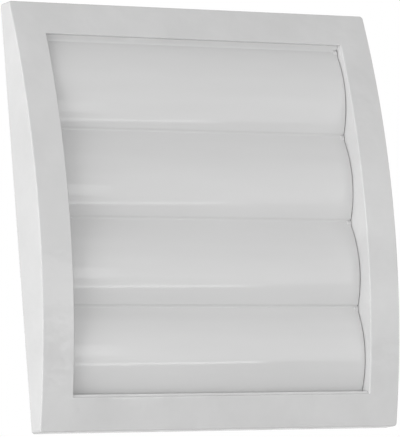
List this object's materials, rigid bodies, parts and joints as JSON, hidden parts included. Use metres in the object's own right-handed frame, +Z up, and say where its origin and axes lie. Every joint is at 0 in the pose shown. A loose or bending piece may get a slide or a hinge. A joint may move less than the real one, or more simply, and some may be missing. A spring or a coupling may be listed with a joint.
{
  "type": "louvred vent grille",
  "caption": "Square bowed wall grille over a round duct, with curved flaps that hang closed and swing outwards in the air flow.",
  "frame": {"origin": "centre of the duct opening and of the screw holes, in the wall plane at the frame's back", "axes": "+Y into the wall along the duct, so the front faces -Y; +Z up; +X to the right as seen from the front"},
  "size_m": [0.2, 0.02, 0.2],
  "materials": {
    "frame_plastic": "moulded, satin",
    "flap_plastic": "moulded, glossy"
  },
  "bodies": {
    "frame": {"frame": "frame_plastic"},
    "flap_1": {"flap_1": "flap_plastic"},
    "flap_2": {"flap_2": "flap_plastic"},
    "flap_3": {"flap_3": "flap_plastic"},
    "flap_4": {"flap_4": "flap_plastic"}
  },
  "joints": [
    {"name": "flap_1_swing", "type": "hinge", "parent": "frame", "child": "flap_1", "pos_m": [0, -0.0063, 0.0811], "axis": [-1, 0, 0], "range_deg": [0, 75]},
    {"name": "flap_2_swing", "type": "hinge", "parent": "frame", "child": "flap_2", "pos_m": [0, -0.0063, 0.0396], "axis": [-1, 0, 0], "range_deg": [0, 75]},
    {"name": "flap_3_swing", "type": "hinge", "parent": "frame", "child": "flap_3", "pos_m": [0, -0.0063, -0.0019], "axis": [-1, 0, 0], "range_deg": [0, 75]},
    {"name": "flap_4_swing", "type": "hinge", "parent": "frame", "child": "flap_4", "pos_m": [0, -0.0063, -0.0434], "axis": [-1, 0, 0], "range_deg": [0, 75]}
  ]
}
